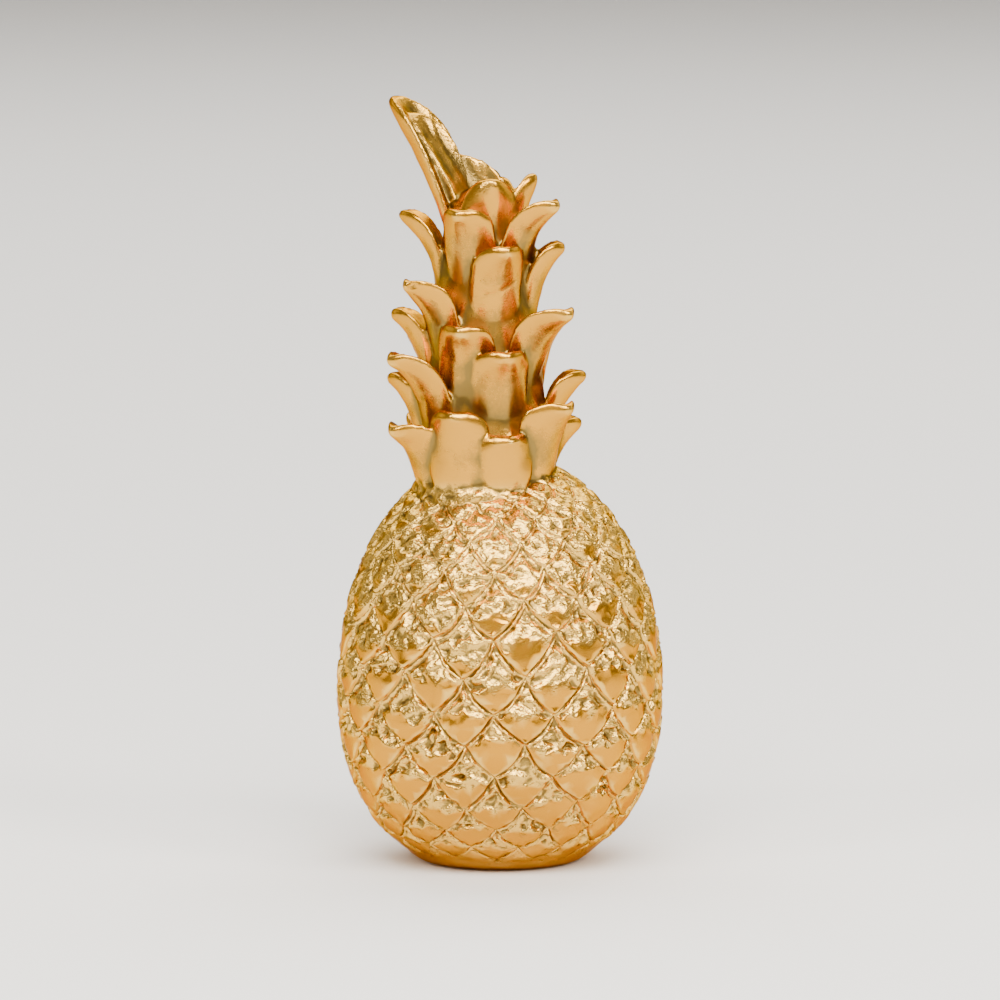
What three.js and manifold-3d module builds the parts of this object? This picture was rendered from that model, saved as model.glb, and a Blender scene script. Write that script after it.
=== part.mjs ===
// A pineapple figurine, cast in one piece and gilded all over.
// The fruit is a squat egg, cut flat below, quilted with diamond eyes that stand in alternate rings.
// The crown is a stem, a little to one side, thatched with fleshy leaves that bend outwards, and one
// tall folded leaf sweeps up and to the left above them.
// Millimetres, +Z up, with the origin at the middle of the flat underside. -Y is the front.

import * as THREE from "three";
import { mergeVertices } from "three/addons/utils/BufferGeometryUtils.js";
import Module from "manifold-3d";

// The fruit's outline, over the crests of its eyes, is two quarters of a superellipse that meet at the belly.
const bellyRadius = 50.6;
const bellyHeight = 52;
const lowerReach = 59.6; // from the belly down to where the outline would close, below the flat foot
const upperReach = 72.8; // from the belly up to where the outline would close, inside the crown
const lowerFullness = 2.2; // the superellipse's power: 2 is an ellipse, more is squarer
const upperFullness = 2.1;

// The eyes: diamonds in rings, each ring turned by half an eye from the last.
const eyesPerRing = 16;
const lowerEyeAspect = 0.205; // half an eye's height, as a share of the fruit's radius there
const upperEyeAspect = 0.234; // the same above the belly, where the eyes are longer
const eyeDepth = 2.4; // from the crest of an eye down to the groove around it, at the belly
const frontEyeAzimuth = 9; // degrees, the belly ring's eye nearest the front
const ringsBelow = 5; // rings of eyes under the belly's own ring
const ringsAbove = 7; // and over it
const faceShare = 0.76; // where an eye's face turns down to its groove, as a share of the eye
const lowerLift = 0.84; // how far the face's lower rim stands up, as a share of the eye's depth
const upperLift = 0.6; // the same for its upper rim, which lies lower, like a tucked bract
const crestDrop = 0.1; // the crest's place below the middle of the eye, in rings
const footBevel = 1.2; // the small bevel round the flat underside

// The crown's stem, and how its leaves bend.
const crownOffset = -4.7; // the crown stands to the left of the fruit's axis
const stemFootRadius = 19.5;
const stemTopRadius = 10;
const stemHeight = 82; // above the crown's foot
const stemSink = 12; // how far the stem runs down into the fruit
const leafRootInset = 1; // the leaf's root line lies this far inside the stem's skin
const leafBend = 0.08; // how far out the bend comes, as a share of the leaf's reach
const leafBendRise = 0.7; // and how high up the leaf
const rootCamber = 0.22; // the gutter section's depth at the root, as a share of the half width
const tipCamber = 0.52; // and towards the tip, where the rims stand up
const leafThickness = 4.2;
const rimThinning = 0.35; // the share of the thickness that is lost by the rims
const tipThinning = 0.4; // the share of the thickness that is lost by the tip
const leafWidest = 0.6; // where along the leaf it is widest
const leafRootShare = 0.62; // the root's width, as a share of the widest
const tipFullness = 2.2; // the powers of the outline's run from there to the tip
const tipBluntness = 0.65;
const rootDrop = 27; // a leaf's root is this far below its tip,
const lowestRoot = -3; // or here at the lowest, just below the crown's foot

// Where the leaves stand: columns round the stem, each with its leaves from the bottom up. A leaf is given
// by its tip: the height above the crown's foot and the reach from the stem's axis.
const leafColumns = [
  { azimuth: -99, width: 18, tips: [32, 51.5, 81.5], reaches: [29.8, 28.8, 26.5] },
  { azimuth: -56, width: 19, tips: [18, 39.5, 62], reaches: [34.2, 34.8, 29.5] },
  { azimuth: -20, width: 20.5, tips: [24, 49, 84], reaches: [28, 27, 23] },
  { azimuth: 14, width: 19, tips: [16.5, 41.5, 73], reaches: [28, 28, 24] },
  { azimuth: 51, width: 20, tips: [25, 53.5, 86], reaches: [33, 34.5, 28] },
  { azimuth: 88, width: 18, tips: [18.5, 33, 72.5], reaches: [29.5, 31, 24.5] },
  { azimuth: 124, width: 19, tips: [23, 47, 80], reaches: [31, 32, 26] },
  { azimuth: 160, width: 19, tips: [17, 38, 66], reaches: [29, 30, 25] },
  { azimuth: -164, width: 19.5, tips: [26, 54, 87], reaches: [31, 30, 24] },
  { azimuth: -131, width: 18, tips: [18, 44, 71], reaches: [30, 31, 26] },
];
const widthLoss = 0.25; // the share of the leaves' width that is lost by the top of the stem

// The heart of the crown: the tall leaf, the leaf that backs it, and three small ones round to the right.
// They stand on the stem's head, so a root is given by its own height and reach.
const heartLeaves = [
  { azimuth: -109, width: 21, root: 66, rootReach: 7.5, tip: 117.9, reach: 29.5, bend: 0.3 },
  { azimuth: -146, width: 19, root: 66, rootReach: 4, tip: 99, reach: 14.5, bend: 0.6 },
  { azimuth: 2, width: 16, root: 62, rootReach: 8, tip: 93.5, reach: 12.5, bend: 0.4 },
  { azimuth: 86, width: 13, root: 66, rootReach: 7, tip: 94, reach: 15.5, bend: 0.3 },
  { azimuth: 152, width: 15, root: 64, rootReach: 6, tip: 92, reach: 12, bend: 0.4 },
];
const heartBendRise = 0.55; // how high up a heart leaf its bend comes

// How finely the round stretches are cut.
const meridianSteps = 600;
const meridianEnd = 0.985; // the outline is followed up to here, as a share of its upper reach
const stemSides = 16;
const leafRings = [0, 0.35, 0.6, 0.78, 0.9, 0.975];
const outerFace = [-1, -0.5, 0.5, 1]; // across a leaf, on the side away from the stem
const innerFace = [0.84, 0, -0.84]; // and back, on the side towards it

const degrees = Math.PI / 180;
const columns = 2 * Math.max(3, Math.round(eyesPerRing));
const lowestRing = -ringsBelow;
const highestRing = ringsAbove;

const wasm = await Module();
wasm.setup();

// The outline's radius at a height.
function outlineRadius(z) {
  const above = z >= bellyHeight;
  const power = above ? upperFullness : lowerFullness;
  const share = Math.min(1, Math.abs(z - bellyHeight) / (above ? upperReach : lowerReach));
  return bellyRadius * (1 - share ** power) ** (1 / power);
}

// The height at which the upper outline has a radius.
function shoulderHeight(radius) {
  return bellyHeight + upperReach * (1 - (radius / bellyRadius) ** upperFullness) ** (1 / upperFullness);
}

// The outline from the foot upwards, with the ring number that each point falls on. The eyes keep their
// shape, so a ring is as tall as the fruit is wide there: number = sum of length / (aspect x radius).
const meridian = [];
{
  const top = bellyHeight + upperReach * meridianEnd;
  let ring = 0;
  for (let i = 0; i <= meridianSteps; i++) {
    const z = (top * i) / meridianSteps;
    const r = outlineRadius(z);
    const last = meridian.at(-1);
    const aspect = z > bellyHeight ? upperEyeAspect : lowerEyeAspect;
    if (last) ring += Math.hypot(z - last.z, r - last.r) / ((aspect * (r + last.r)) / 2);
    meridian.push({ z, r, ring });
  }
  const belly = meridian.find((point) => point.z >= bellyHeight).ring;
  for (const point of meridian) point.ring -= belly;
}

// The point of the outline at a ring number, with the outline's outward normal there.
function outlineAt(ring) {
  const upper = Math.max(1, meridian.findIndex((point) => point.ring >= ring));
  const a = meridian[upper - 1];
  const b = meridian[upper];
  const share = (ring - a.ring) / (b.ring - a.ring);
  const length = Math.hypot(b.z - a.z, b.r - a.r);
  return {
    r: a.r + (b.r - a.r) * share,
    z: a.z + (b.z - a.z) * share,
    outR: (b.z - a.z) / length,
    outZ: (a.r - b.r) / length,
  };
}

// A point on a circle round the origin's axis. The azimuth is 0 at the front and grows to the right.
function polar(radius, azimuth, z) {
  return new THREE.Vector3(radius * Math.sin(azimuth * degrees), -radius * Math.cos(azimuth * degrees), z);
}

// A point of the fruit's skin. Column and ring are places in the lattice of the eyes, and lift runs from
// 0 in the grooves to 1 on the crests.
function skin(column, ring, lift) {
  const { r, z, outR, outZ } = outlineAt(ring);
  const sunk = eyeDepth * (r / bellyRadius) * (1 - lift);
  const turned = (((column % columns) + columns) % columns) * (360 / columns);
  return polar(r - sunk * outR, frontEyeAzimuth + turned, z - sunk * outZ);
}

// Gathers triangles and makes them one solid.
class Shell {
  points = [];

  // A flat or nearly flat face, fanned from its first corner, anticlockwise from outside.
  face(...corners) {
    for (let i = 2; i < corners.length; i++) this.points.push(corners[0], corners[i - 1], corners[i]);
  }

  // The strip between two closed loops of as many points, with the outside on the right of the climb.
  strip(low, high) {
    low.forEach((point, i) => {
      const next = (i + 1) % low.length;
      this.face(point, low[next], high[next]);
      this.face(point, high[next], high[i]);
    });
  }

  // Triangles from one point to each side of a closed loop.
  fan(centre, loop) {
    loop.forEach((point, i) => this.face(centre, point, loop[(i + 1) % loop.length]));
  }

  solid() {
    const soup = new THREE.BufferGeometry().setFromPoints(this.points);
    const merged = mergeVertices(soup, 1e-4);
    return new wasm.Manifold(
      new wasm.Mesh({
        numProp: 3,
        vertProperties: merged.attributes.position.array,
        triVerts: new Uint32Array(merged.index.array),
      }),
    );
  }
}

// The eight places round an eye's border, from its right corner and anticlockwise, in lattice steps.
const border = [
  [1, 0],
  [0.5, 0.5],
  [0, 1],
  [-0.5, 0.5],
  [-1, 0],
  [-0.5, -0.5],
  [0, -1],
  [0.5, -0.5],
];

// One eye: the groove round it, a raised face, higher below than above, and a blunt crest.
function addEye(shell, column, ring) {
  const groove = border.map(([across, up]) => skin(column + across, ring + up, 0));
  const face = border.map(([across, up]) => {
    const lift = up > 0 ? upperLift : lowerLift;
    return skin(column + across * faceShare, ring + up * faceShare, lift);
  });
  shell.strip(groove, face);
  shell.fan(skin(column, ring - crestDrop, 1), face);
}

// The fruit: whole eyes ring by ring, half diamonds to level off at both ends, then the foot and the top.
function makeFruit() {
  const shell = new Shell();
  for (let ring = lowestRing; ring <= highestRing; ring++) {
    for (let column = Math.abs(ring) % 2; column < columns; column += 2) addEye(shell, column, ring);
  }
  const endLoop = (ring) => Array.from({ length: columns }, (_, column) => skin(column, ring, 0));
  const below = lowestRing - 1;
  const above = highestRing + 1;
  for (let column = Math.abs(lowestRing) % 2; column < columns; column += 2) {
    const low = [0, 1, 2].map((step) => skin(column + step, below, 0));
    shell.face(skin(column + 1, lowestRing, 0), skin(column + 0.5, lowestRing - 0.5, 0), low[0], low[1]);
    shell.face(skin(column + 1, lowestRing, 0), low[1], low[2], skin(column + 1.5, lowestRing - 0.5, 0));
  }
  for (let column = highestRing % 2; column < columns; column += 2) {
    const high = [0, 1, 2].map((step) => skin(column + step, above, 0));
    shell.face(skin(column + 1, highestRing, 0), high[1], high[0], skin(column + 0.5, highestRing + 0.5, 0));
    shell.face(skin(column + 1, highestRing, 0), skin(column + 1.5, highestRing + 0.5, 0), high[2], high[1]);
  }

  const footRadius = outlineRadius(0) - footBevel;
  const azimuths = Array.from({ length: columns }, (_, column) => frontEyeAzimuth + (column * 360) / columns);
  const edge = azimuths.map((azimuth) => polar(footRadius + footBevel, azimuth, footBevel));
  const sole = azimuths.map((azimuth) => polar(footRadius, azimuth, 0));
  shell.strip(edge, endLoop(below));
  shell.strip(sole, edge);
  shell.fan(polar(0, 0, 0), sole.toReversed());
  shell.fan(polar(0, 0, outlineAt(above).z + footBevel), endLoop(above));
  return shell.solid();
}

// Heights in the crown count from its foot, where the stem's skin meets the fruit's shoulder.
const crownFoot = shoulderHeight(stemFootRadius + Math.abs(crownOffset));

function stemRadius(height) {
  const share = Math.min(1, Math.max(0, height / stemHeight));
  return stemFootRadius + (stemTopRadius - stemFootRadius) * share;
}

// The stem: a tapering post with a rounded top, from inside the fruit to the heart of the crown.
function makeStem() {
  const shell = new Shell();
  const loop = (radius, height) =>
    Array.from({ length: stemSides }, (_, i) => {
      const point = polar(radius, (i * 360) / stemSides, crownFoot + height);
      return point.setX(point.x + crownOffset);
    });
  const foot = loop(stemFootRadius, -stemSink);
  const neck = loop(stemFootRadius, 0);
  const head = loop(stemTopRadius, stemHeight);
  const axisPoint = (height) => new THREE.Vector3(crownOffset, 0, crownFoot + height);
  shell.fan(axisPoint(-stemSink), foot.toReversed());
  shell.strip(foot, neck);
  shell.strip(neck, head);
  shell.fan(axisPoint(stemHeight + stemTopRadius / 2), head);
  return shell.solid();
}

// A leaf's half width along it, from 0 at the root to 1 at the tip, as a share of the widest.
function leafTaper(along) {
  if (along < leafWidest) {
    return leafRootShare + (1 - leafRootShare) * Math.sin((Math.PI / 2) * (along / leafWidest));
  }
  return (1 - ((along - leafWidest) / (1 - leafWidest)) ** tipFullness) ** tipBluntness;
}

// A leaf: a gutter section, bowed away from the stem, carried along a midrib that climbs beside the stem
// and then bends outwards to a blunt point.
function makeLeaf({ azimuth, root, tip, reach, rootReach, width, bend, bendRise }) {
  const rise = tip - root;
  const midrib = new THREE.QuadraticBezierCurve(
    new THREE.Vector2(rootReach, root),
    new THREE.Vector2(rootReach + (reach - rootReach) * bend, root + rise * bendRise),
    new THREE.Vector2(reach, tip),
  );
  const place = (radius, height, sideways) => {
    const point = polar(radius, azimuth, crownFoot + height);
    point.x += crownOffset + sideways * Math.cos(azimuth * degrees);
    point.y += sideways * Math.sin(azimuth * degrees);
    return point;
  };
  const section = (along) => {
    const middle = midrib.getPoint(along);
    const tangent = midrib.getTangent(along);
    const half = (width / 2) * leafTaper(along);
    const thickness = leafThickness * (1 - tipThinning * along);
    const camber = rootCamber + (tipCamber - rootCamber) * THREE.MathUtils.smoothstep(along, 0.2, 0.8);
    const at = (across, side) => {
      const bow = camber * half * across * across;
      const skinOffset = side * (thickness / 2) * (1 - rimThinning * across * across) - bow;
      return place(middle.x + tangent.y * skinOffset, middle.y - tangent.x * skinOffset, across * half);
    };
    return [...outerFace.map((across) => at(across, 1)), ...innerFace.map((across) => at(across, -1))];
  };
  const shell = new Shell();
  const sections = leafRings.map(section);
  sections.slice(1).forEach((high, i) => shell.strip(sections[i], high));
  shell.fan(place(reach, tip, 0), sections.at(-1));
  const foot = sections[0].reduce((sum, point) => sum.add(point), new THREE.Vector3());
  shell.fan(foot.divideScalar(sections[0].length), sections[0].toReversed());
  return shell.solid();
}

// The leaves of the columns, from the named sizes, and then those of the heart.
function crownLeaves() {
  const thatch = leafColumns.flatMap(({ azimuth, width, tips, reaches }) =>
    tips.map((tip, i) => {
      const root = Math.max(lowestRoot, tip - rootDrop);
      const share = Math.max(0, root) / stemHeight;
      return {
        azimuth,
        root,
        tip,
        reach: reaches[i],
        rootReach: stemRadius(root) - leafRootInset,
        width: width * (1 - widthLoss * share),
        bend: leafBend,
        bendRise: leafBendRise,
      };
    }),
  );
  const heart = heartLeaves.map((leaf) => ({ ...leaf, bendRise: heartBendRise }));
  return [...thatch, ...heart];
}

// Joins the solids into the one casting, with any pocket that is closed off inside filled up.
function castTogether(solids) {
  const joined = solids.reduce((sum, solid) => sum.add(solid));
  const outer = joined.decompose().filter((body) => body.volume() > 0);
  return outer.reduce((largest, body) => (body.volume() > largest.volume() ? body : largest));
}

function toGeometry(solid) {
  const { vertProperties, triVerts, numProp } = solid.getMesh();
  const count = vertProperties.length / numProp;
  const positions = new Float32Array(count * 3);
  for (let i = 0; i < count; i++) {
    positions.set(vertProperties.subarray(i * numProp, i * numProp + 3), i * 3);
  }
  const geometry = new THREE.BufferGeometry();
  geometry.setAttribute("position", new THREE.BufferAttribute(positions, 3));
  geometry.setIndex(new THREE.BufferAttribute(new Uint32Array(triVerts), 1));
  geometry.computeVertexNormals();
  return geometry;
}

const gilding = new THREE.MeshStandardMaterial({ color: 0xd2a052, metalness: 0.85, roughness: 0.38 });

const casting = castTogether([makeFruit(), makeStem(), ...crownLeaves().map(makeLeaf)]);
const figurine = new THREE.Mesh(toGeometry(casting), gilding);
figurine.name = "pineapple_figurine";

const group = new THREE.Group();
group.add(figurine);

export default group;
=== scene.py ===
import math
import bpy
import numpy as np
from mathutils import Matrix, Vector


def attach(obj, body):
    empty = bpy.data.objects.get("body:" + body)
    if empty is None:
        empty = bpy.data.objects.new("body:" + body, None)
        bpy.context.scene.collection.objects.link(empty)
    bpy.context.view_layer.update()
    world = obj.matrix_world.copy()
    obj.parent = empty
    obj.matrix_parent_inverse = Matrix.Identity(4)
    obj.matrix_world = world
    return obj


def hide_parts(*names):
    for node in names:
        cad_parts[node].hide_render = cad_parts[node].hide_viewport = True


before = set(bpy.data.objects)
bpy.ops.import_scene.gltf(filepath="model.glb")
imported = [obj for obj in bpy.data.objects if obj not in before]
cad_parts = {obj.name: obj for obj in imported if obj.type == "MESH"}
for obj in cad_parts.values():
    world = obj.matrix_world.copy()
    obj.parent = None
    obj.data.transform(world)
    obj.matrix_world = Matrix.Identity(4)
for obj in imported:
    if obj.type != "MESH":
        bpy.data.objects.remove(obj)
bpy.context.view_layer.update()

# A gilded pineapple figurine, cast in one piece. Sizes are millimetres unless a note says otherwise, and
# mm turns them into Blender's metres. -Y is the front, and azimuths count in degrees from there to the
# right.
mm = 0.001
degree = math.pi / 180

# the fruit's outline over the crests of its eyes: two quarters of a superellipse that meet at the belly
outline = {
    "bellyRadius": 50.1, "bellyHeight": 52.0,
    "lowerReach": 58.2, "upperReach": 72.8,
    "lowerFullness": 2.2, "upperFullness": 2.1,
    "footEdge": 2.8,         # height of the rounded edge round the flat underside
    "footFlat": 21.5,        # radius of the flat underside
    "footCorner": 25.8,      # where the rounding's two ends point to
    "soleInner": 3.0,        # the underside's grid is carried in to this radius, then closed
    "soleRings": 3.0,        # how many rings of the lattice that takes
    "end": 0.985,            # the outline is followed up to this share of its upper reach
    "soleSteps": 60, "edgeSteps": 40, "wallSteps": 1400,     # points along each part of it
}

# the eyes: rings of sixteen, each ring turned by half an eye from the last
eyes = {
    "perRing": 16, "frontAzimuth": 9.0,
    "lowerAspect": 0.205, "upperAspect": 0.234,     # a ring's height as a share of its radius
    "cuts": 38,              # grid steps along each side of an eye
    "grooveDepth": 1.9, "nodeDepth": 1.3,   # from crest to groove at the belly, and where grooves cross
    "nodeLift": 1.2,         # how far the metal has pooled round the crossings
    "bow": 0.12,             # how far the grooves bow outwards under each eye, in rings
    "wander": 0.23,          # how far the lattice strays, in rings
    "waviness": 0.22,        # soft unevenness of the shields
    "dents": 0.45,           # small dents in the lowest eyes
    "plainLow": 1.0, "plainHigh": 13.0,  # between these heights the eyes rise out of the plain foot
    "fullest": -0.3,         # where an eye stands out most, from -1 at its bottom corner to 1 at its top
    "tuck": 2.9,             # how far its top falls back, under the eyes above
    "chin": 1.4,             # how far its chin falls back, above the groove
    "sides": 1.8,            # how far its left and right corners fall back
    "chinWall": 0.065, "topWall": 0.04,     # how wide the groove's two walls are, in half eyes
    "lip": 0.02, "lipDrop": 0.55, "lipSpread": 0.2,  # where a shield ends, its fall up the fruit, its spread
    "lipHeight": 0.6,        # of the ridge where the shield meets the bract
    "crumple": 0.58,         # height of the crumpled bract's folds
    "beadHeight": 0.7,       # of the bead inside the two upper edges
    "pocketDepth": 2.0,      # of the pit that some bracts have
    "wildness": 0.5,         # height of the folds that run over the grooves, near the crown
    "seed": 11,
}

# the crown: a tapering stem that stands a little left of the fruit's axis, and the leaves round it
crown = {
    "offset": -4.7, "foot": 116.97,      # x of the stem's axis, height of its foot
    "stemFoot": 19.5, "stemTop": 10.0,   # the stem's radius at its foot and at its top
    "stemHeight": 82.0, "stemSink": 12.0,       # above its foot, and below it inside the fruit
    "stemSides": 96,
    "stemPadding": 2.0,      # how far the melted leaf roots thicken the stem
    "skirt": 6.0,            # how much further out the lowest leaves are rooted, in front and behind
    "collar": 0.8,           # how far the gold pooled round their roots stands out
    "lean": 1.6, "twist": 0.16,          # how unlike each other the leaves are
    "inset": 1.0,            # how deep the leaves are rooted in the stem
    "bend": 0.08, "bendRise": 0.7, "heartBendRise": 0.55,       # the midrib's middle handle, as shares
    "rootCamber": 0.22, "tipCamber": 0.52,      # how cupped a leaf is
    "thickness": 4.8, "rimThinning": 0.28, "tipThinning": 0.12,
    "tipRound": 2.8,         # a leaf's thickness closes over this length at its tip
    "widest": 0.6, "rootShare": 0.84, "tipFullness": 2.2, "tipBluntness": 0.65,
    "rootDrop": 27.0, "lowestRoot": -3.0,       # how far below its tip a leaf is rooted
    "widthLoss": 0.25,       # how much narrower the highest leaves are
    "around": 44, "along": 44,           # grid steps of a leaf
    "voxel": 0.55, "softening": 3,       # grain of the melting, and rounds of smoothing after it
    "pale": 0.15,            # the leaves are this much paler than the smooth gold of the eyes
    "shade": 1.0, "shadeReach": 18.0,    # how much painted shade browns the gold near the stem, up to this far out
    "waviness": 0.28,        # soft unevenness of the hand-finished leaves
    "lumps": 0.9,            # and of the gold pooled at their feet
    "wrinkles": 0.13,        # and of the crinkled gold in the heart
    "seed": 5,
}

# the leaves in their columns round the stem: azimuth, width, then (tip height, reach) from the bottom up
leafColumns = [
    (-99, 18.0, [(32, 29.8), (51.5, 28.8), (81.5, 26.5)]),
    (-56, 19.0, [(18, 34.2), (39.5, 34.8), (62, 29.5)]),
    (-20, 20.5, [(24, 29.0), (49, 27.0), (84, 23.0)]),
    (14, 19.0, [(16.5, 28.0), (41.5, 28.0), (73, 24.0)]),
    (51, 20.0, [(25, 33.0), (53.5, 34.5), (86, 28.0)]),
    (88, 18.0, [(18.5, 29.5), (33, 31.0), (72.5, 24.5)]),
    (124, 19.0, [(23, 28.0), (47, 26.5), (80, 20.0)]),
    (160, 19.0, [(17, 29.0), (38, 30.0), (66, 25.0)]),
    (-164, 19.5, [(26, 31.0), (54, 30.0), (87, 24.0)]),
    (-131, 18.0, [(18, 30.0), (44, 31.0), (71, 19.5)]),
]

# the heart of the crown: azimuth, width, root height, root reach, tip height, tip reach, bend, lean, twist
heartLeaves = [
    (-109, 21.0, 66, 6.5, 116.4, 30.2, 0.3, 0, 0.2),
    (-109, 12.0, 66, 2.0, 111.5, 24.0, 0.3, 0, 0.7),
    (-146, 24.0, 62, 0.0, 99.0, 15.0, 0.5, 4.0, 0.2),
    (10, 17.5, 62, 8.0, 93.5, 12.5, 0.4, 0, 0),
    (86, 13.0, 66, 7.0, 94.0, 15.5, 0.3, 0, 0),
    (152, 15.0, 64, 6.0, 92.0, 12.0, 0.4, 0, 0),
]

# casting flaws on the front of the crown: x, z, radius and height of bubbles and pits
flaws = [(5.6, 132.1, 1.1, 0.7), (3.3, 131.7, 0.8, 0.5), (-26.4, 178.1, 1.3, -0.9)]

# and a hairline sag, a parabola that hangs between left and right
sag = {"x": -4.4, "z": 175.2, "curve": 0.05, "left": -6.0, "right": 5.5, "width": 0.45, "depth": 0.25}

casting = {
    "triangles": 196000,
    "fineSteps": 5,          # rounds of smoothing that the narrow hollows are measured against
    "broadSteps": 34,        # and the wide ones
}


# 0 below low, 1 above high, and 3t^2 - 2t^3 between
def smoothStep(low, high, x):
    t = np.clip((x - low) / (high - low), 0, 1)
    return t * t * (3 - 2 * t)


# a bump of height 1 and half width w round the middle: exp(-(x / w)^2)
def bump(x, w):
    return np.exp(-np.square(x / w))


# smooth noise, mostly -1 to 1: a random slope at each corner of the unit cubes, blended by
# 6t^5 - 15t^4 + 10t^3
def noise(points, seed):
    rng = np.random.default_rng(seed)
    table = rng.permutation(256)
    slopes = rng.normal(size=(256, 3))
    slopes /= np.linalg.norm(slopes, axis=1, keepdims=True)
    cell = np.floor(points).astype(int)
    local = points - cell
    fade = local**3 * (local * (local * 6 - 15) + 10)
    total = np.zeros(len(points))
    for corner in np.ndindex(2, 2, 2):
        key = (cell + corner) & 255
        key = table[(table[(table[key[:, 0]] + key[:, 1]) & 255] + key[:, 2]) & 255]
        weight = np.prod(np.where(corner, fade, 1 - fade), axis=1)
        total += weight * np.einsum("ij,ij->i", slopes[key], local - corner)
    return total * 1.6


# folded noise from -1 to 1, with sharp crests along the lines where plain noise is 0: 1 - 4|noise|
def folds(points, seed):
    return np.clip(1 - 4 * np.abs(noise(points, seed)), -1, 1)


# places on circles round the z axis, for arrays of radius, azimuth and height
def polar(radius, azimuth, z):
    return np.stack([radius * np.sin(azimuth * degree), -radius * np.cos(azimuth * degree), z], axis=-1)


# a new object from arrays of places in millimetres and of faces
def makeObject(name, places, faces):
    mesh = bpy.data.meshes.new(name)
    mesh.from_pydata((places * mm).tolist(), [], faces.tolist())
    piece = bpy.data.objects.new(name, mesh)
    bpy.context.scene.collection.objects.link(piece)
    return piece


# the mesh's places in millimetres
def getPlaces(mesh):
    places = np.empty(len(mesh.vertices) * 3)
    mesh.vertices.foreach_get("co", places)
    return places.reshape(-1, 3) / mm


# the same the other way round
def setPlaces(mesh, places):
    mesh.vertices.foreach_set("co", (places * mm).ravel())
    mesh.update()


# the direction in which each vertex faces
def getNormals(mesh):
    normals = np.empty(len(mesh.vertices) * 3)
    mesh.vertices.foreach_get("normal", normals)
    return normals.reshape(-1, 3)


# a number for each vertex, under the name by which the material reads it
def setValues(mesh, name, values):
    layer = mesh.attributes.get(name) or mesh.attributes.new(name, "FLOAT", "POINT")
    layer.data.foreach_set("value", values.astype(np.float32))


# replaces the object's mesh by what its modifiers make of it
def applyModifiers(piece):
    bpy.context.view_layer.update()
    finished = bpy.data.meshes.new_from_object(piece.evaluated_get(bpy.context.evaluated_depsgraph_get()))
    piece.modifiers.clear()
    piece.data = finished


# rounds of smoothing: each vertex goes half of the way to the mean of its neighbours
def relaxed(mesh, places, rounds):
    pairs = np.empty(len(mesh.edges) * 2, dtype=np.int32)
    mesh.edges.foreach_get("vertices", pairs)
    one, other = pairs[0::2], pairs[1::2]
    size = len(places)
    count = np.maximum(np.bincount(pairs, minlength=size), 1)[:, None]
    for step in range(rounds):
        total = [np.bincount(one, places[other, axis], size) + np.bincount(other, places[one, axis], size)
                 for axis in range(3)]
        places = (places + np.stack(total, axis=-1) / count) / 2
    return places


# closes each open end of a grid by a fan to its own place, for faces given as rows of three vertices
def closeEnds(places, faces, ends):
    edges = np.concatenate([faces[:, [0, 1]], faces[:, [1, 2]], faces[:, [2, 0]]])
    size = len(places) + len(ends)
    forward = edges[:, 0] * size + edges[:, 1]
    backward = edges[:, 1] * size + edges[:, 0]
    rim = edges[~np.isin(forward, backward)]
    ends = np.array(ends, dtype=float)
    distance = np.linalg.norm(places[rim[:, 0]][:, None] - ends[None], axis=2)
    nearest = len(places) + distance.argmin(axis=1)
    fans = np.stack([rim[:, 1], rim[:, 0], nearest], axis=-1)
    return np.concatenate([places, ends]), np.concatenate([faces, fans])


# the outline's radius at a height: R (1 - (|z - belly| / reach)^p)^(1 / p)
def outlineRadius(z):
    above = z >= outline["bellyHeight"]
    power = np.where(above, outline["upperFullness"], outline["lowerFullness"])
    reach = np.where(above, outline["upperReach"], outline["lowerReach"])
    share = np.clip(np.abs(z - outline["bellyHeight"]) / reach, 0, 1)
    return outline["bellyRadius"] * (1 - share**power) ** (1 / power)


# the outline as a path from the underside's middle up to the crown: radius, height and ring number, and the
# number at the foot's edge. A ring is as tall as its aspect times the radius, so that the ring number is the
# sum of length / (aspect * radius), and it is 0 at the belly.
def makeMeridian():
    top = outline["bellyHeight"] + outline["upperReach"] * outline["end"]
    z = np.linspace(outline["footEdge"], top, outline["wallSteps"])
    r = outlineRadius(z)
    t = np.linspace(0, 1, outline["edgeSteps"])[:-1]
    edgeRadius = (1 - t) ** 2 * outline["footFlat"] + 2 * t * (1 - t) * outline["footCorner"] + t**2 * r[0]
    sole = np.linspace(outline["soleInner"], outline["footFlat"], outline["soleSteps"])[:-1]
    radius = np.concatenate([sole, edgeRadius, r])
    height = np.concatenate([sole * 0, t**2 * z[0], z])
    length = np.hypot(np.diff(radius), np.diff(height))
    aspect = np.where(height[1:] > outline["bellyHeight"], eyes["upperAspect"], eyes["lowerAspect"])
    step = length / (aspect * (radius[1:] + radius[:-1]) / 2)
    step[: len(sole)] = outline["soleRings"] / len(sole)
    ring = np.concatenate([[0], np.cumsum(step)])
    ring -= np.interp(outline["bellyHeight"], height[len(sole):], ring[len(sole):])
    return radius, height, ring, ring[len(sole)]


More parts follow.
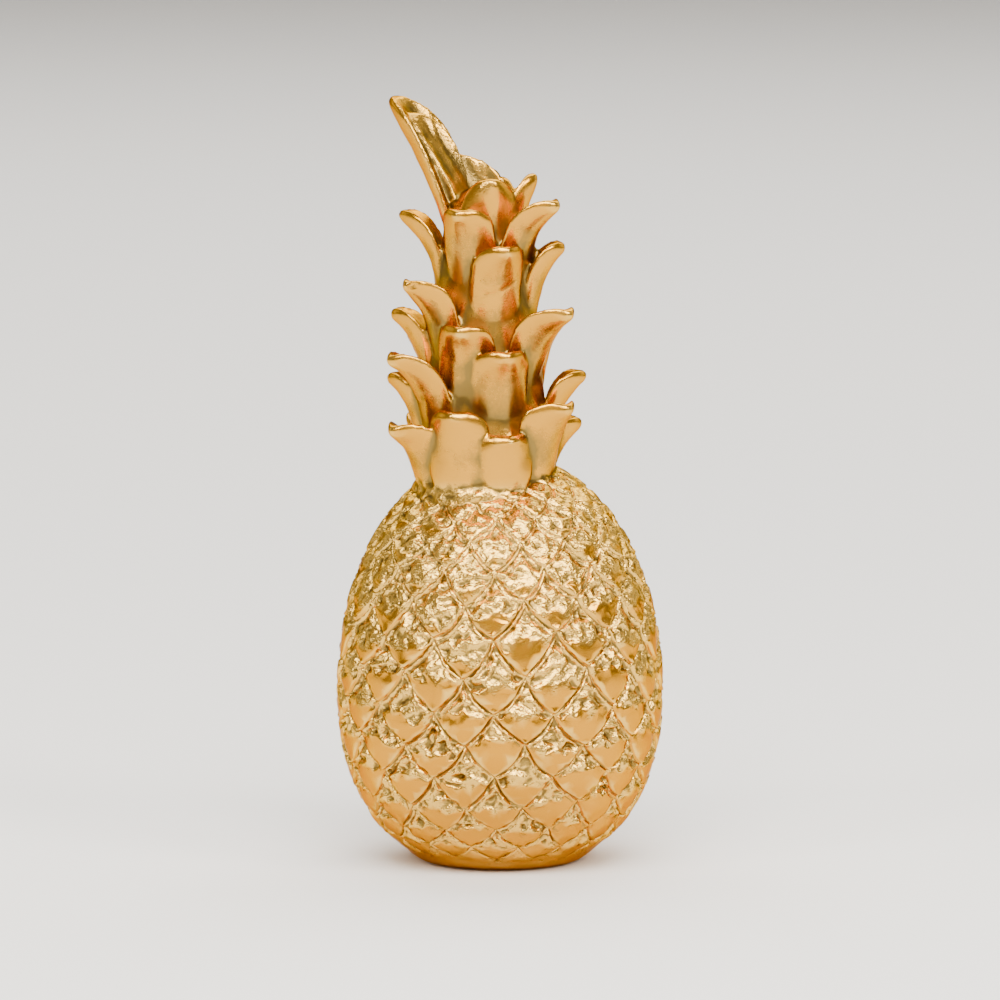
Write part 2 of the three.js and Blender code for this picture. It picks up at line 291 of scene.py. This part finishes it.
# one eye's relief over the crest line, in millimetres at the belly's scale, and where it is crumpled foil.
# x runs from -1 at the left corner to 1 at the right one, y from -1 at the bottom to 1 at the top. The
# smooth shield below y = lip gives way to the crumpled bract above it: powers of the distance from the
# fullest place, plus noise, less the groove along the four edges.
def eyeRelief(x, y, place, lip, crumple, dents, pocket, pocketX, bead, wild):
    edge = 1 - np.abs(x) - np.abs(y)
    above = np.clip((y - eyes["fullest"]) / (1 - eyes["fullest"]), 0, 1)
    below = np.clip((eyes["fullest"] - y) / (1 + eyes["fullest"]), 0, 1)
    form = -eyes["tuck"] * above**1.3 - eyes["chin"] * below**2.2 - eyes["sides"] * np.abs(x) ** 2.5
    form += eyes["waviness"] * noise(place / 6, 31) + eyes["dents"] * dents * noise(place / 2.8, 42)
    corner = np.minimum(np.hypot(np.abs(x) - 1, y), np.hypot(x, np.abs(y) - 1))
    form += eyes["nodeLift"] * bump(corner, 0.2) * (1 + 0.5 * noise(place / 4, 43))

    ragged = y - lip + 0.24 * noise(place / 3.6, 32) + 0.12 * noise(place / 1.7, 33)
    foil = np.maximum(smoothStep(-0.02, 0.07, ragged), wild * smoothStep(0.3, 0.1, edge))
    bract = smoothStep(-0.02, 0.07, ragged) * smoothStep(0.02, 0.12, edge)
    warp = place + 1.3 * np.stack([noise(place / 3.6, seed) for seed in (34, 35, 36)], axis=-1)
    creases = noise(warp / 3.6, 37) + 0.8 * folds(warp / 5.2, 38) + 0.32 * folds(warp / 2.4, 39)
    form += bract * crumple * eyes["crumple"] * creases

    form += eyes["lipHeight"] * bump(ragged - 0.04, 0.08) * smoothStep(0.1, 0.35, edge) * (1 - x**2)
    form -= eyes["pocketDepth"] * pocket * bump(np.hypot((x - pocketX) / 0.16, (y - lip - 0.17) / 0.11), 1)

    # a bead runs inside the two upper edges, bolder on the left one, with a fine line inside it
    bold = smoothStep(-0.1, 0.12, y) * np.where(x < 0, 1.2, 0.75) * (1 + 0.6 * noise(place / 5.0, 40))
    form += eyes["beadHeight"] * bead * bold * (bump(edge - 0.12, 0.06) - 0.5 * bump(edge - 0.235, 0.04))

    flank = smoothStep(-0.005, np.where(y > 0, eyes["topWall"], eyes["chinWall"]), edge)
    floor = -eyes["grooveDepth"] - (eyes["nodeDepth"] - eyes["grooveDepth"]) * (2 * np.abs(y) - 1) ** 2
    floor *= (1 - 0.3 * wild) * (1 + 0.45 * noise(place / 5.5, 44))
    relief = floor + (form - floor) * flank
    relief += wild * eyes["wildness"] * (folds(warp / 5.5, 45) + 0.6 * noise(warp / 3.2, 46) - 0.6)
    return np.minimum(relief, 0), foil


# the fruit's skin: a grid on each eye, whose lines run along the grooves, all joined into one closed mesh.
# Place (i, j) of an eye lies at its column + s_i - s_j and its ring - 1 + s_i + s_j.
def makeFruit():
    n = eyes["cuts"]
    perRing = eyes["perRing"]
    radius, height, ringAt, footRing = makeMeridian()
    rings = np.arange(math.ceil(ringAt[0]) + 1, math.floor(ringAt[-1]))
    even = np.arange(n) / n
    s = even - 0.06 * np.sin(2 * math.pi * even)     # closer together along the grooves

    ring = rings[:, None, None, None] + np.zeros((1, perRing, n, n))
    odd = (rings % 2)[:, None, None, None]
    column = odd + 2 * np.arange(perRing)[None, :, None, None] + 0 * ring
    x = (s[:, None] - s[None, :] + 0 * ring).ravel()
    y = (s[:, None] + s[None, :] - 1 + 0 * ring).ravel()
    latticeRing = ring.ravel() + y
    latticeColumn = column.ravel() + x

    # under each eye the two grooves bow outwards, by sin(pi * way along) * cos(pi * way off)^2
    one, other = (x + y + 1) / 2, (y - x + 1) / 2
    leftBow = np.sin(math.pi * other) * np.cos(math.pi * one) ** 2
    rightBow = np.sin(math.pi * one) * np.cos(math.pi * other) ** 2
    free = smoothStep(footRing, footRing + 2, latticeRing)
    free = free * smoothStep(rings[-1], rings[-1] - 2, latticeRing)
    latticeRing -= eyes["bow"] * 0.7 * (leftBow + rightBow) * free
    latticeColumn += eyes["bow"] * 0.7 * (rightBow - leftBow) * free
    azimuth = eyes["frontAzimuth"] + latticeColumn * 180 / perRing
    turn = azimuth * degree
    drum = np.stack([2 * np.cos(turn), 2 * np.sin(turn), latticeRing * 0.45], axis=-1)
    azimuth += eyes["wander"] * 180 / perRing * noise(drum, 21) * free
    bent = latticeRing + eyes["wander"] * noise(drum, 22) * free
    r = np.interp(bent, ringAt, radius)
    z = np.interp(bent, ringAt, height)
    slopeR = np.interp(bent + 0.02, ringAt, radius) - np.interp(bent - 0.02, ringAt, radius)
    slopeZ = np.interp(bent + 0.02, ringAt, height) - np.interp(bent - 0.02, ringAt, height)
    slope = np.hypot(slopeR, slopeZ)

    # what differs from eye to eye
    rng = np.random.default_rng(eyes["seed"])

    def spread(low, high):
        return (rng.uniform(low, high, (len(rings), perRing, 1, 1)) + 0 * ring).ravel()

    rise = smoothStep(-3, 5, ring.ravel())
    lip = eyes["lip"] - eyes["lipDrop"] * rise + spread(-eyes["lipSpread"], eyes["lipSpread"])
    crumple = spread(0.75, 1.25) * (1.8 - 0.8 * rise)
    pocket = smoothStep(0.35, 0.9, spread(0, 1)) * (1 - 0.7 * rise)
    dents = smoothStep(-1, -4, ring.ravel())
    wild = smoothStep(66, 96, z)
    place = polar(r, azimuth, z)
    ridge = bump((azimuth + 25) / 30, 1)     # long ridges up to the crown's left
    bead = spread(0.45, 1.3) * (1 + (0.6 + 1.1 * ridge) * smoothStep(1, 4, ring.ravel()))
    relief, foil = eyeRelief(x, y, place, lip, crumple, dents, pocket, spread(-0.22, 0.22), bead, wild)
    grown = smoothStep(eyes["plainLow"], eyes["plainHigh"], z)
    plain = (0.9 + 0.5 * noise(place / 7, 41)) * smoothStep(0, 3, z)
    relief = relief * r / outline["bellyRadius"] * grown - (1 - grown) * plain
    places = polar(r + relief * slopeZ / slope, azimuth, z - relief * slopeR / slope)

    # the far sides of an eye's grid belong to the eyes up to its right, up to its left and above it
    index = np.arange(len(places)).reshape(len(rings), perRing, n, n)
    grid = np.full((len(rings), perRing, n + 1, n + 1), -1)
    grid[:, :, :n, :n] = index
    turned = odd[:-1, :, 0]
    grid[:-1, :, n, :n] = np.where(turned, np.roll(index, -1, axis=1)[1:, :, 0, :], index[1:, :, 0, :])
    grid[:-1, :, :n, n] = np.where(turned, index[1:, :, :, 0], np.roll(index, 1, axis=1)[1:, :, :, 0])
    grid[:-2, :, n, n] = index[2:, :, 0, 0]
    low, right = grid[:, :, :-1, :-1], grid[:, :, 1:, :-1]
    high, left = grid[:, :, 1:, 1:], grid[:, :, :-1, 1:]
    faces = np.concatenate([np.stack([low, right, left], axis=-1).reshape(-1, 3),
                            np.stack([right, high, left], axis=-1).reshape(-1, 3)])
    faces = faces[(faces >= 0).all(axis=1)]
    places, faces = closeEnds(places, faces, [(0, 0, 0), (0, 0, height[-1])])
    fruit = makeObject("fruitSkin", places, faces)
    setValues(fruit.data, "foil", np.concatenate([foil * grown + 0.35 * (1 - grown), [0, 0]]))
    return fruit


# how wide a leaf is, as a share of its greatest width: rising with a sine, then (1 - x^f)^b to the tip
def leafTaper(along):
    rising = crown["rootShare"] + (1 - crown["rootShare"]) * np.sin(math.pi / 2 * along / crown["widest"])
    beyond = np.clip((along - crown["widest"]) / (1 - crown["widest"]), 0, 1)
    closing = (1 - beyond ** crown["tipFullness"]) ** crown["tipBluntness"]
    return np.where(along < crown["widest"], rising, closing)


# a leaf as a closed shell: a gutter section with rounded rims, carried along a quadratic midrib. The outer
# face is convex, by camber * half width * across^2.
def makeLeaf(azimuth, width, root, rootReach, tip, reach, bend, bendRise, lean, twist):
    t = 1 - (1 - np.linspace(0, 1, crown["along"])[:-1]) ** 1.6
    handleR = rootReach + (reach - rootReach) * bend
    handleZ = root + (tip - root) * bendRise
    midR = (1 - t) ** 2 * rootReach + 2 * t * (1 - t) * handleR + t**2 * reach
    midZ = (1 - t) ** 2 * root + 2 * t * (1 - t) * handleZ + t**2 * tip
    tangentR = 2 * (1 - t) * (reach - rootReach) * bend + 2 * t * (reach - rootReach) * (1 - bend)
    tangentZ = 2 * (1 - t) * (tip - root) * bendRise + 2 * t * (tip - root) * (1 - bendRise)
    tangent = np.hypot(tangentR, tangentZ)
    half = width / 2 * leafTaper(t)
    left = np.hypot(reach - midR, tip - midZ)
    thickness = crown["thickness"] * (1 - crown["tipThinning"] * t)
    thickness = thickness * np.sqrt(np.clip(1 - (1 - np.clip(left / crown["tipRound"], 0, 1)) ** 2, 0, 1))
    camber = crown["rootCamber"] + (crown["tipCamber"] - crown["rootCamber"]) * smoothStep(0.2, 0.8, t)

    turn = np.arange(crown["around"]) * 2 * math.pi / crown["around"]
    across = np.sign(np.cos(turn)) * np.abs(np.cos(turn)) ** 0.75
    side = np.sign(np.sin(turn)) * np.abs(np.sin(turn)) ** 0.55
    body = side * (1 - crown["rimThinning"] * across**2)
    offset = np.outer(thickness / 2, body) - np.outer(camber * half, across**2)
    r = midR[:, None] + offset * (tangentZ / tangent)[:, None]
    z = midZ[:, None] - offset * (tangentR / tangent)[:, None]
    r += np.outer(half * twist * smoothStep(0.2, 1, t), across)
    sideways = np.outer(half, across) + (lean * t**2)[:, None]
    out = azimuth * degree
    places = np.stack([r * math.sin(out) + sideways * math.cos(out) + crown["offset"],
                       -r * math.cos(out) + sideways * math.sin(out),
                       z + crown["foot"]], axis=-1).reshape(-1, 3)
    index = np.arange(len(places)).reshape(len(t), crown["around"])
    a, b = index[:-1], np.roll(index, -1, axis=1)[:-1]
    c, d = np.roll(index, -1, axis=1)[1:], index[1:]
    faces = np.concatenate([np.stack([a, d, b], axis=-1).reshape(-1, 3),
                            np.stack([b, d, c], axis=-1).reshape(-1, 3)])
    ends = [(rootReach * math.sin(out) + crown["offset"], -rootReach * math.cos(out), root + crown["foot"]),
            (reach * math.sin(out) + lean * math.cos(out) + crown["offset"],
             -reach * math.cos(out) + lean * math.sin(out), tip + crown["foot"])]
    return closeEnds(places, faces, ends)


# the stem as a closed cone, with the gold that pooled round its foot: at each level its radius, plus a share
# of the collar, plus the skirt times the cosine of the azimuth squared
def makeStem():
    around = crown["stemSides"]
    turn = np.arange(around) * 360 / around
    full = crown["stemHeight"]
    levels = np.array([-crown["stemSink"], -2.5, 0, 2, 5, full / 2, full, full + 3, full + 6, full + 8])
    share = np.clip(levels / full, 0, 1)
    wide = crown["stemFoot"] + (crown["stemTop"] - crown["stemFoot"]) * share + crown["stemPadding"]
    wide *= np.array([1, 1, 1, 1, 1, 1, 1, 0.85, 0.55, 0.2])
    pool = np.array([1, 1, 0.4, 0, 0, 0, 0, 0, 0, 0])
    front = crown["skirt"] * np.array([0.9, 0.87, 0.84, 0.5, 0.2, 0, 0, 0, 0, 0])
    drops = 1 + noise(polar(4, turn, 0 * turn), 53)
    skirt = np.outer(front, np.cos(turn * degree) ** 2)
    wide = wide[:, None] + crown["collar"] * np.outer(pool, drops) + skirt
    places = polar(wide, turn + 0 * wide, levels[:, None] + crown["foot"] + 0 * turn)
    places = places.reshape(-1, 3) + (crown["offset"], 0, 0)
    index = np.arange(len(places)).reshape(len(levels), around)
    a, b = index[:-1], np.roll(index, -1, axis=1)[:-1]
    c, d = np.roll(index, -1, axis=1)[1:], index[1:]
    faces = np.concatenate([np.stack([a, b, c], axis=-1).reshape(-1, 3),
                            np.stack([a, c, d], axis=-1).reshape(-1, 3)])
    return closeEnds(places, faces, [(crown["offset"], 0, levels[0] + crown["foot"]),
                                     (crown["offset"], 0, levels[-1] + crown["foot"])])


# stem and leaves, melted together as they are in the cast
def makeCrown():
    rng = np.random.default_rng(crown["seed"])
    parts = [makeStem()]
    for azimuth, width, tips in leafColumns:
        for tier, (tip, reach) in enumerate(tips):
            root = max(crown["lowestRoot"], tip - crown["rootDrop"])
            share = max(0, root) / crown["stemHeight"]
            rootReach = crown["stemFoot"] + (crown["stemTop"] - crown["stemFoot"]) * share - crown["inset"]
            if tier == 0:
                rootReach += crown["skirt"] * math.cos(azimuth * degree) ** 2
            narrowed = width * (1 - crown["widthLoss"] * share)
            lean, twist = rng.uniform(-1, 1, 2) * (crown["lean"], crown["twist"])
            parts.append(makeLeaf(azimuth, narrowed, root, rootReach, tip, reach,
                                  crown["bend"], crown["bendRise"], lean, twist))
    for azimuth, width, root, rootReach, tip, reach, bend, lean, twist in heartLeaves:
        parts.append(makeLeaf(azimuth, width, root, rootReach, tip, reach,
                              bend, crown["heartBendRise"], lean, twist))
    starts = np.cumsum([0] + [len(places) for places, faces in parts[:-1]])
    places = np.concatenate([places for places, faces in parts])
    faces = np.concatenate([faces + start for start, (_, faces) in zip(starts, parts)])
    leaves = makeObject("crownLeaves", places, faces)
    remesh = leaves.modifiers.new("Melt", "REMESH")
    remesh.mode = "VOXEL"
    remesh.voxel_size = crown["voxel"] * mm
    applyModifiers(leaves)
    mesh = leaves.data
    places = relaxed(mesh, getPlaces(mesh), crown["softening"])
    setPlaces(mesh, places)
    wave = noise(places / 9, 51) + 0.5 * noise(places / 4, 52)
    pooled = smoothStep(crown["foot"] + 4, crown["foot"] - 1, places[:, 2])
    swell = crown["waviness"] * (wave - 0.6) + crown["lumps"] * pooled * (noise(places / 3.2, 54) - 0.3)

    # the inside of the tall leaf and the slope beside it are crinkled
    normals = getNormals(mesh)
    x, y, z = places.T
    heart = smoothStep(203, 209, z) * smoothStep(0.05, 0.3, normals[:, 0] - normals[:, 1])
    heart *= smoothStep(0, -4, x)
    along = np.stack([x + 0.45 * z, y, z / 6], axis=-1)
    swell += crown["wrinkles"] * heart * (2.2 * folds(along / 4.6, 55) + 0.5 * noise(places / 3, 56) - 0.8)

    # a hairline sag across one leaf, then the bubbles and pits
    hairline = bump(z - sag["z"] - sag["curve"] * (x - sag["x"]) ** 2, sag["width"])
    hairline *= smoothStep(sag["left"], sag["left"] + 2, x)
    hairline *= smoothStep(sag["right"], sag["right"] - 1.5, x)
    swell -= sag["depth"] * hairline * (y < -12)
    for flawX, flawZ, radius, height in flaws:
        swell += height * bump(np.hypot(x - flawX, z - flawZ), radius) * (y < -5)
    setPlaces(mesh, places + normals * swell[:, None])
    setValues(mesh, "foil", np.maximum(np.maximum(pooled * 0.8, heart * 0.6), crown["pale"]))
    return leaves


# fruit and crown in one skin, thinned where it is smooth
def makeCasting():
    fruit = makeFruit()
    print("fruit:", len(fruit.data.polygons), "triangles")
    leaves = makeCrown()
    print("crown:", len(leaves.data.polygons), "faces")
    union = fruit.modifiers.new("Join", "BOOLEAN")
    union.operation = "UNION"
    union.solver = "MANIFOLD"
    union.object = leaves
    applyModifiers(fruit)
    bpy.data.objects.remove(leaves)
    total = sum(len(polygon.vertices) - 2 for polygon in fruit.data.polygons)
    print("joined:", total, "triangles")
    thin = fruit.modifiers.new("Thin", "DECIMATE")
    thin.ratio = min(1, casting["triangles"] / total)
    thin.use_collapse_triangulate = True
    applyModifiers(fruit)
    mesh = fruit.data
    mesh.polygons.foreach_set("use_smooth", np.ones(len(mesh.polygons), dtype=bool))
    places = getPlaces(mesh)
    normals = getNormals(mesh)
    # painted shade: a place below its smoothed neighbourhood is darkened, and a sharp edge above it gets a
    # painted highlight
    near = relaxed(mesh, places, casting["fineSteps"])
    far = relaxed(mesh, near, casting["broadSteps"])
    paintedShade = np.einsum("ij,ij->i", far - places, normals)

    # painted shade between the leaves: the crown's inner places are darkened too, by how close to the stem
    # they lie
    up = np.clip((places[:, 2] - crown["foot"]) / crown["stemHeight"], 0, 1)
    stem = crown["stemFoot"] + (crown["stemTop"] - crown["stemFoot"]) * up
    reach = np.hypot(places[:, 0] - crown["offset"], places[:, 1]) - stem
    stemShade = smoothStep(crown["shadeReach"], -1, reach) * smoothStep(2, 10, places[:, 2] - crown["foot"])
    setValues(mesh, "paintedShade", paintedShade + crown["shade"] * stemShade)
    setValues(mesh, "creaseShadeAndEdgeHighlight", np.einsum("ij,ij->i", near - places, normals))
    fruit.name = "pineapple_casting"
    mesh.name = "pineapple_casting"
    print("casting:", len(mesh.polygons), "triangles")
    return fruit


# satin gold paint: the colours of foil and sharp edges, partly painted highlight, of smooth gold, and of
# painted shade
gold = {
    "crest": (0.80, 0.485, 0.092), "mid": (0.61, 0.27, 0.0125), "paintedShade": (0.23, 0.145, 0.035),
    "creaseShadeShare": 1.6,      # how much more painted shade a narrow crease gets than a wide hollow
    "smooth": 0.21, "rough": 0.35,       # roughness on the crests and in the hollows
    "edgeTint": (0.68, 0.43, 0.16),      # colour at a grazing angle
    "cloudSize": 14, "fleckSize": 1.1,   # the two noises that loosen the colour
    "foldSize": 1.5, "foldHeight": 1.2, "foldStrength": 0.4,         # the finest folds in the foil
    "grainSize": 0.35, "grainHeight": 0.12, "grainStrength": 0.12,   # and the paint's grain
}


# a new node with its settings
def addNode(tree, kind, **settings):
    node = tree.nodes.new(kind)
    for name, value in settings.items():
        setattr(node, name, value)
    return node


# a noise texture of features about size millimetres wide, on the object's own coordinates
def addNoise(tree, coordinates, size, detail):
    texture = addNode(tree, "ShaderNodeTexNoise")
    texture.inputs["Scale"].default_value = 1 / (size * mm)
    texture.inputs["Detail"].default_value = detail
    tree.links.new(coordinates.outputs["Object"], texture.inputs["Vector"])
    return texture


# passes low..high on to newLow..newHigh
def addRange(tree, socket, low, high, newLow, newHigh):
    node = addNode(tree, "ShaderNodeMapRange")
    for name, value in (("From Min", low), ("From Max", high), ("To Min", newLow), ("To Max", newHigh)):
        node.inputs[name].default_value = value
    tree.links.new(socket, node.inputs["Value"])
    return node.outputs["Result"]


# a sum, product or the like of two sockets or numbers
def addMath(tree, operation, one, other):
    node = addNode(tree, "ShaderNodeMath", operation=operation)
    for socket, value in zip(node.inputs, (one, other)):
        if isinstance(value, (int, float)):
            socket.default_value = value
        else:
            tree.links.new(value, socket)
    return node.outputs["Value"]


# blends two colours by a factor
def addMix(tree, factor, one, other):
    node = addNode(tree, "ShaderNodeMix", data_type="RGBA")
    tree.links.new(factor, node.inputs[0])
    for socket, value in ((node.inputs[6], one), (node.inputs[7], other)):
        if isinstance(value, tuple):
            socket.default_value = (*value, 1)
        else:
            tree.links.new(value, socket)
    return node.outputs[2]


# the gold's node tree: colour with painted shade and highlight, and roughness, by depth, then two bumps
def makeGold():
    material = bpy.data.materials.new("satin_gold")
    material.use_nodes = True
    tree = material.node_tree
    shader = tree.nodes["Principled BSDF"]
    coordinates = addNode(tree, "ShaderNodeTexCoord")
    paintedShade = addNode(tree, "ShaderNodeAttribute", attribute_name="paintedShade")
    creaseShadeAndEdgeHighlight = addNode(tree, "ShaderNodeAttribute", attribute_name="creaseShadeAndEdgeHighlight")
    foil = addNode(tree, "ShaderNodeAttribute", attribute_name="foil")
    cloud = addNoise(tree, coordinates, gold["cloudSize"], 3)
    fleck = addNoise(tree, coordinates, gold["fleckSize"], 4)

    # colour: painted shade, by how deep a place lies and how near the stem, loosened by two noises of uneven
    # tone, blends towards the shade colour. Foil and sharp edges start from the crest's, smooth gold from
    # the middle one.
    depth = addMath(tree, "ADD", addRange(tree, paintedShade.outputs["Fac"], -0.2, 1.8, -0.08, 0.7),
                    addMath(tree, "MULTIPLY", creaseShadeAndEdgeHighlight.outputs["Fac"], gold["creaseShadeShare"]))
    depth = addMath(tree, "ADD", depth, addRange(tree, cloud.outputs["Fac"], 0.3, 0.7, -0.1, 0.1))
    depth = addMath(tree, "ADD", depth, addRange(tree, fleck.outputs["Fac"], 0.3, 0.7, -0.06, 0.06))
    # painted highlight: sharp edges take the paler crest colour, and the foil takes it partly as its own
    # paler gold and partly as painted highlight
    edgeHighlight = addRange(tree, creaseShadeAndEdgeHighlight.outputs["Fac"], -0.24, -0.6, 0, 1)
    foilAndEdgeHighlight = addMath(tree, "MAXIMUM", foil.outputs["Fac"], edgeHighlight)
    colour = addMix(tree, foilAndEdgeHighlight, gold["mid"], gold["crest"])
    colour = addMix(tree, addRange(tree, depth, 0, 0.55, 0, 1), colour, gold["paintedShade"])
    tree.links.new(colour, shader.inputs["Base Color"])

    shader.inputs["Metallic"].default_value = 1
    shader.inputs["Specular Tint"].default_value = (*gold["edgeTint"], 1)
    dull = addMath(tree, "ADD", addRange(tree, depth, -0.4, 0.9, 0, 0.6),
                   addMath(tree, "MULTIPLY", fleck.outputs["Fac"], 0.4))
    tree.links.new(addRange(tree, dull, 0, 1, gold["smooth"], gold["rough"]), shader.inputs["Roughness"])

    # relief too fine for the mesh: the foil's smallest folds, then the paint's grain
    small = addNoise(tree, coordinates, gold["foldSize"], 2)
    folded = addMath(tree, "ABSOLUTE", addMath(tree, "SUBTRACT", small.outputs["Fac"], 0.5), 0)
    foilHeight = addMath(tree, "MULTIPLY", folded, foil.outputs["Fac"])
    foldBump = addNode(tree, "ShaderNodeBump", invert=True)
    foldBump.inputs["Strength"].default_value = gold["foldStrength"]
    foldBump.inputs["Distance"].default_value = gold["foldHeight"] * mm
    tree.links.new(foilHeight, foldBump.inputs["Height"])
    grain = addNoise(tree, coordinates, gold["grainSize"], 3)
    grainBump = addNode(tree, "ShaderNodeBump")
    grainBump.inputs["Strength"].default_value = gold["grainStrength"]
    grainBump.inputs["Distance"].default_value = gold["grainHeight"] * mm
    tree.links.new(grain.outputs["Fac"], grainBump.inputs["Height"])
    tree.links.new(foldBump.outputs["Normal"], grainBump.inputs["Normal"])
    tree.links.new(grainBump.outputs["Normal"], shader.inputs["Normal"])
    return material


# the camera and the pale room, in metres
studio = {
    "distance": 2.4, "elevation": 7.5, "pixelsPerMm": 3.275, "imageSize": 1000, "sensor": 36.0,
    "aim": 110.6,            # the height that the camera looks at, in millimetres
    "farthest": 50,          # how far the camera sees
    "floorColour": (0.83, 0.82, 0.80), "floorRoughness": 0.9,
    "floorReach": 6.0, "bendRadius": 1.0, "wallHeight": 5.0,     # the sweep
    "worldColour": (1.0, 0.93, 0.84), "worldStrength": 0.34,
}

# the lights: azimuth, elevation, distance, width and depth in metres, watts, colour
softBoxes = [
    ("ceiling", 180, 55, 3.2, 4.0, 3.0, 170, (1.0, 0.98, 0.95)),
    ("right", 118, 16, 1.8, 0.9, 0.7, 2.2, (1.0, 0.96, 0.90)),
    ("glow", 142, 30, 1.9, 0.9, 0.9, 4.5, (1.0, 0.96, 0.90)),
    ("left", -118, 16, 1.8, 0.9, 0.7, 1.5, (1.0, 0.96, 0.90)),
    ("brow", -1, 51, 1.7, 1.4, 0.8, 54, (1.0, 0.97, 0.92)),
    ("key", -50, 34, 1.6, 0.3, 0.6, 9, (1.0, 0.96, 0.90)),
    ("spark", 52, 34, 1.6, 0.5, 0.6, 17, (1.0, 0.95, 0.88)),
    ("front", 0, 20, 2.8, 2.8, 1.7, 11, (1.0, 0.95, 0.88)),
]


# a place in metres, seen from a height on the z axis at an azimuth and an elevation
def standAt(azimuth, elevation, distance, height):
    flat = distance * math.cos(elevation * degree)
    return Vector((flat * math.sin(azimuth * degree), -flat * math.cos(azimuth * degree),
                   height * mm + distance * math.sin(elevation * degree)))


# turns an object so that its -Z axis points at a height on the z axis
def aimAt(thing, height):
    direction = Vector((0, 0, height * mm)) - thing.location
    thing.rotation_euler = direction.to_track_quat("-Z", "Y").to_euler()


# camera, lights, paper sweep and world
def makeStudio():
    scene = bpy.context.scene
    camera = bpy.data.objects.new("camera", bpy.data.cameras.new("camera"))
    scene.collection.objects.link(camera)
    camera.location = standAt(0, studio["elevation"], studio["distance"], studio["aim"])
    aimAt(camera, studio["aim"])
    focal = studio["pixelsPerMm"] * studio["distance"] / mm
    camera.data.sensor_width = studio["sensor"]
    camera.data.lens = focal * studio["sensor"] / studio["imageSize"]
    camera.data.clip_end = studio["farthest"]
    scene.camera = camera

    for name, azimuth, elevation, distance, width, depth, watts, colour in softBoxes:
        light = bpy.data.lights.new(name, "AREA")
        light.shape = "RECTANGLE"
        light.size = width
        light.size_y = depth
        light.energy = watts
        light.color = colour
        lamp = bpy.data.objects.new(name, light)
        scene.collection.objects.link(lamp)
        lamp.location = standAt(azimuth, elevation, distance, studio["aim"])
        aimAt(lamp, studio["aim"])

    # a pale sweep: flat floor, a quarter circle, then straight up behind
    bend = np.linspace(0, math.pi / 2, 24)
    reach, radius = studio["floorReach"], studio["bendRadius"]
    depth = np.concatenate([[-reach], reach - radius + radius * np.sin(bend), [reach]]) / mm
    rise = np.concatenate([[0], radius - radius * np.cos(bend), [studio["wallHeight"]]]) / mm
    sides = np.array([-reach, reach]) / mm
    places = np.stack([sides[None, :] + 0 * depth[:, None], depth[:, None] + 0 * sides[None, :],
                       rise[:, None] + 0 * sides[None, :]], axis=-1).reshape(-1, 3)
    start = np.arange(len(depth) - 1) * 2
    floor = makeObject("floor", places, np.stack([start, start + 1, start + 3, start + 2], axis=-1))
    floor.data.polygons.foreach_set("use_smooth", np.ones(len(floor.data.polygons), dtype=bool))
    paper = bpy.data.materials.new("paper")
    paper.use_nodes = True
    shader = paper.node_tree.nodes["Principled BSDF"]
    shader.inputs["Base Color"].default_value = (*studio["floorColour"], 1)
    shader.inputs["Roughness"].default_value = studio["floorRoughness"]
    floor.data.materials.append(paper)

    world = bpy.data.worlds.new("studio")
    scene.world = world
    world.use_nodes = True
    background = world.node_tree.nodes["Background"]
    background.inputs["Color"].default_value = (*studio["worldColour"], 1)
    background.inputs["Strength"].default_value = studio["worldStrength"]


piece = makeCasting()
piece.data.materials.clear()
piece.data.materials.append(makeGold())
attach(piece, "root")
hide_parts("pineapple_figurine")
makeStudio()
print("studio: done")

bpy.context.view_layer.update()
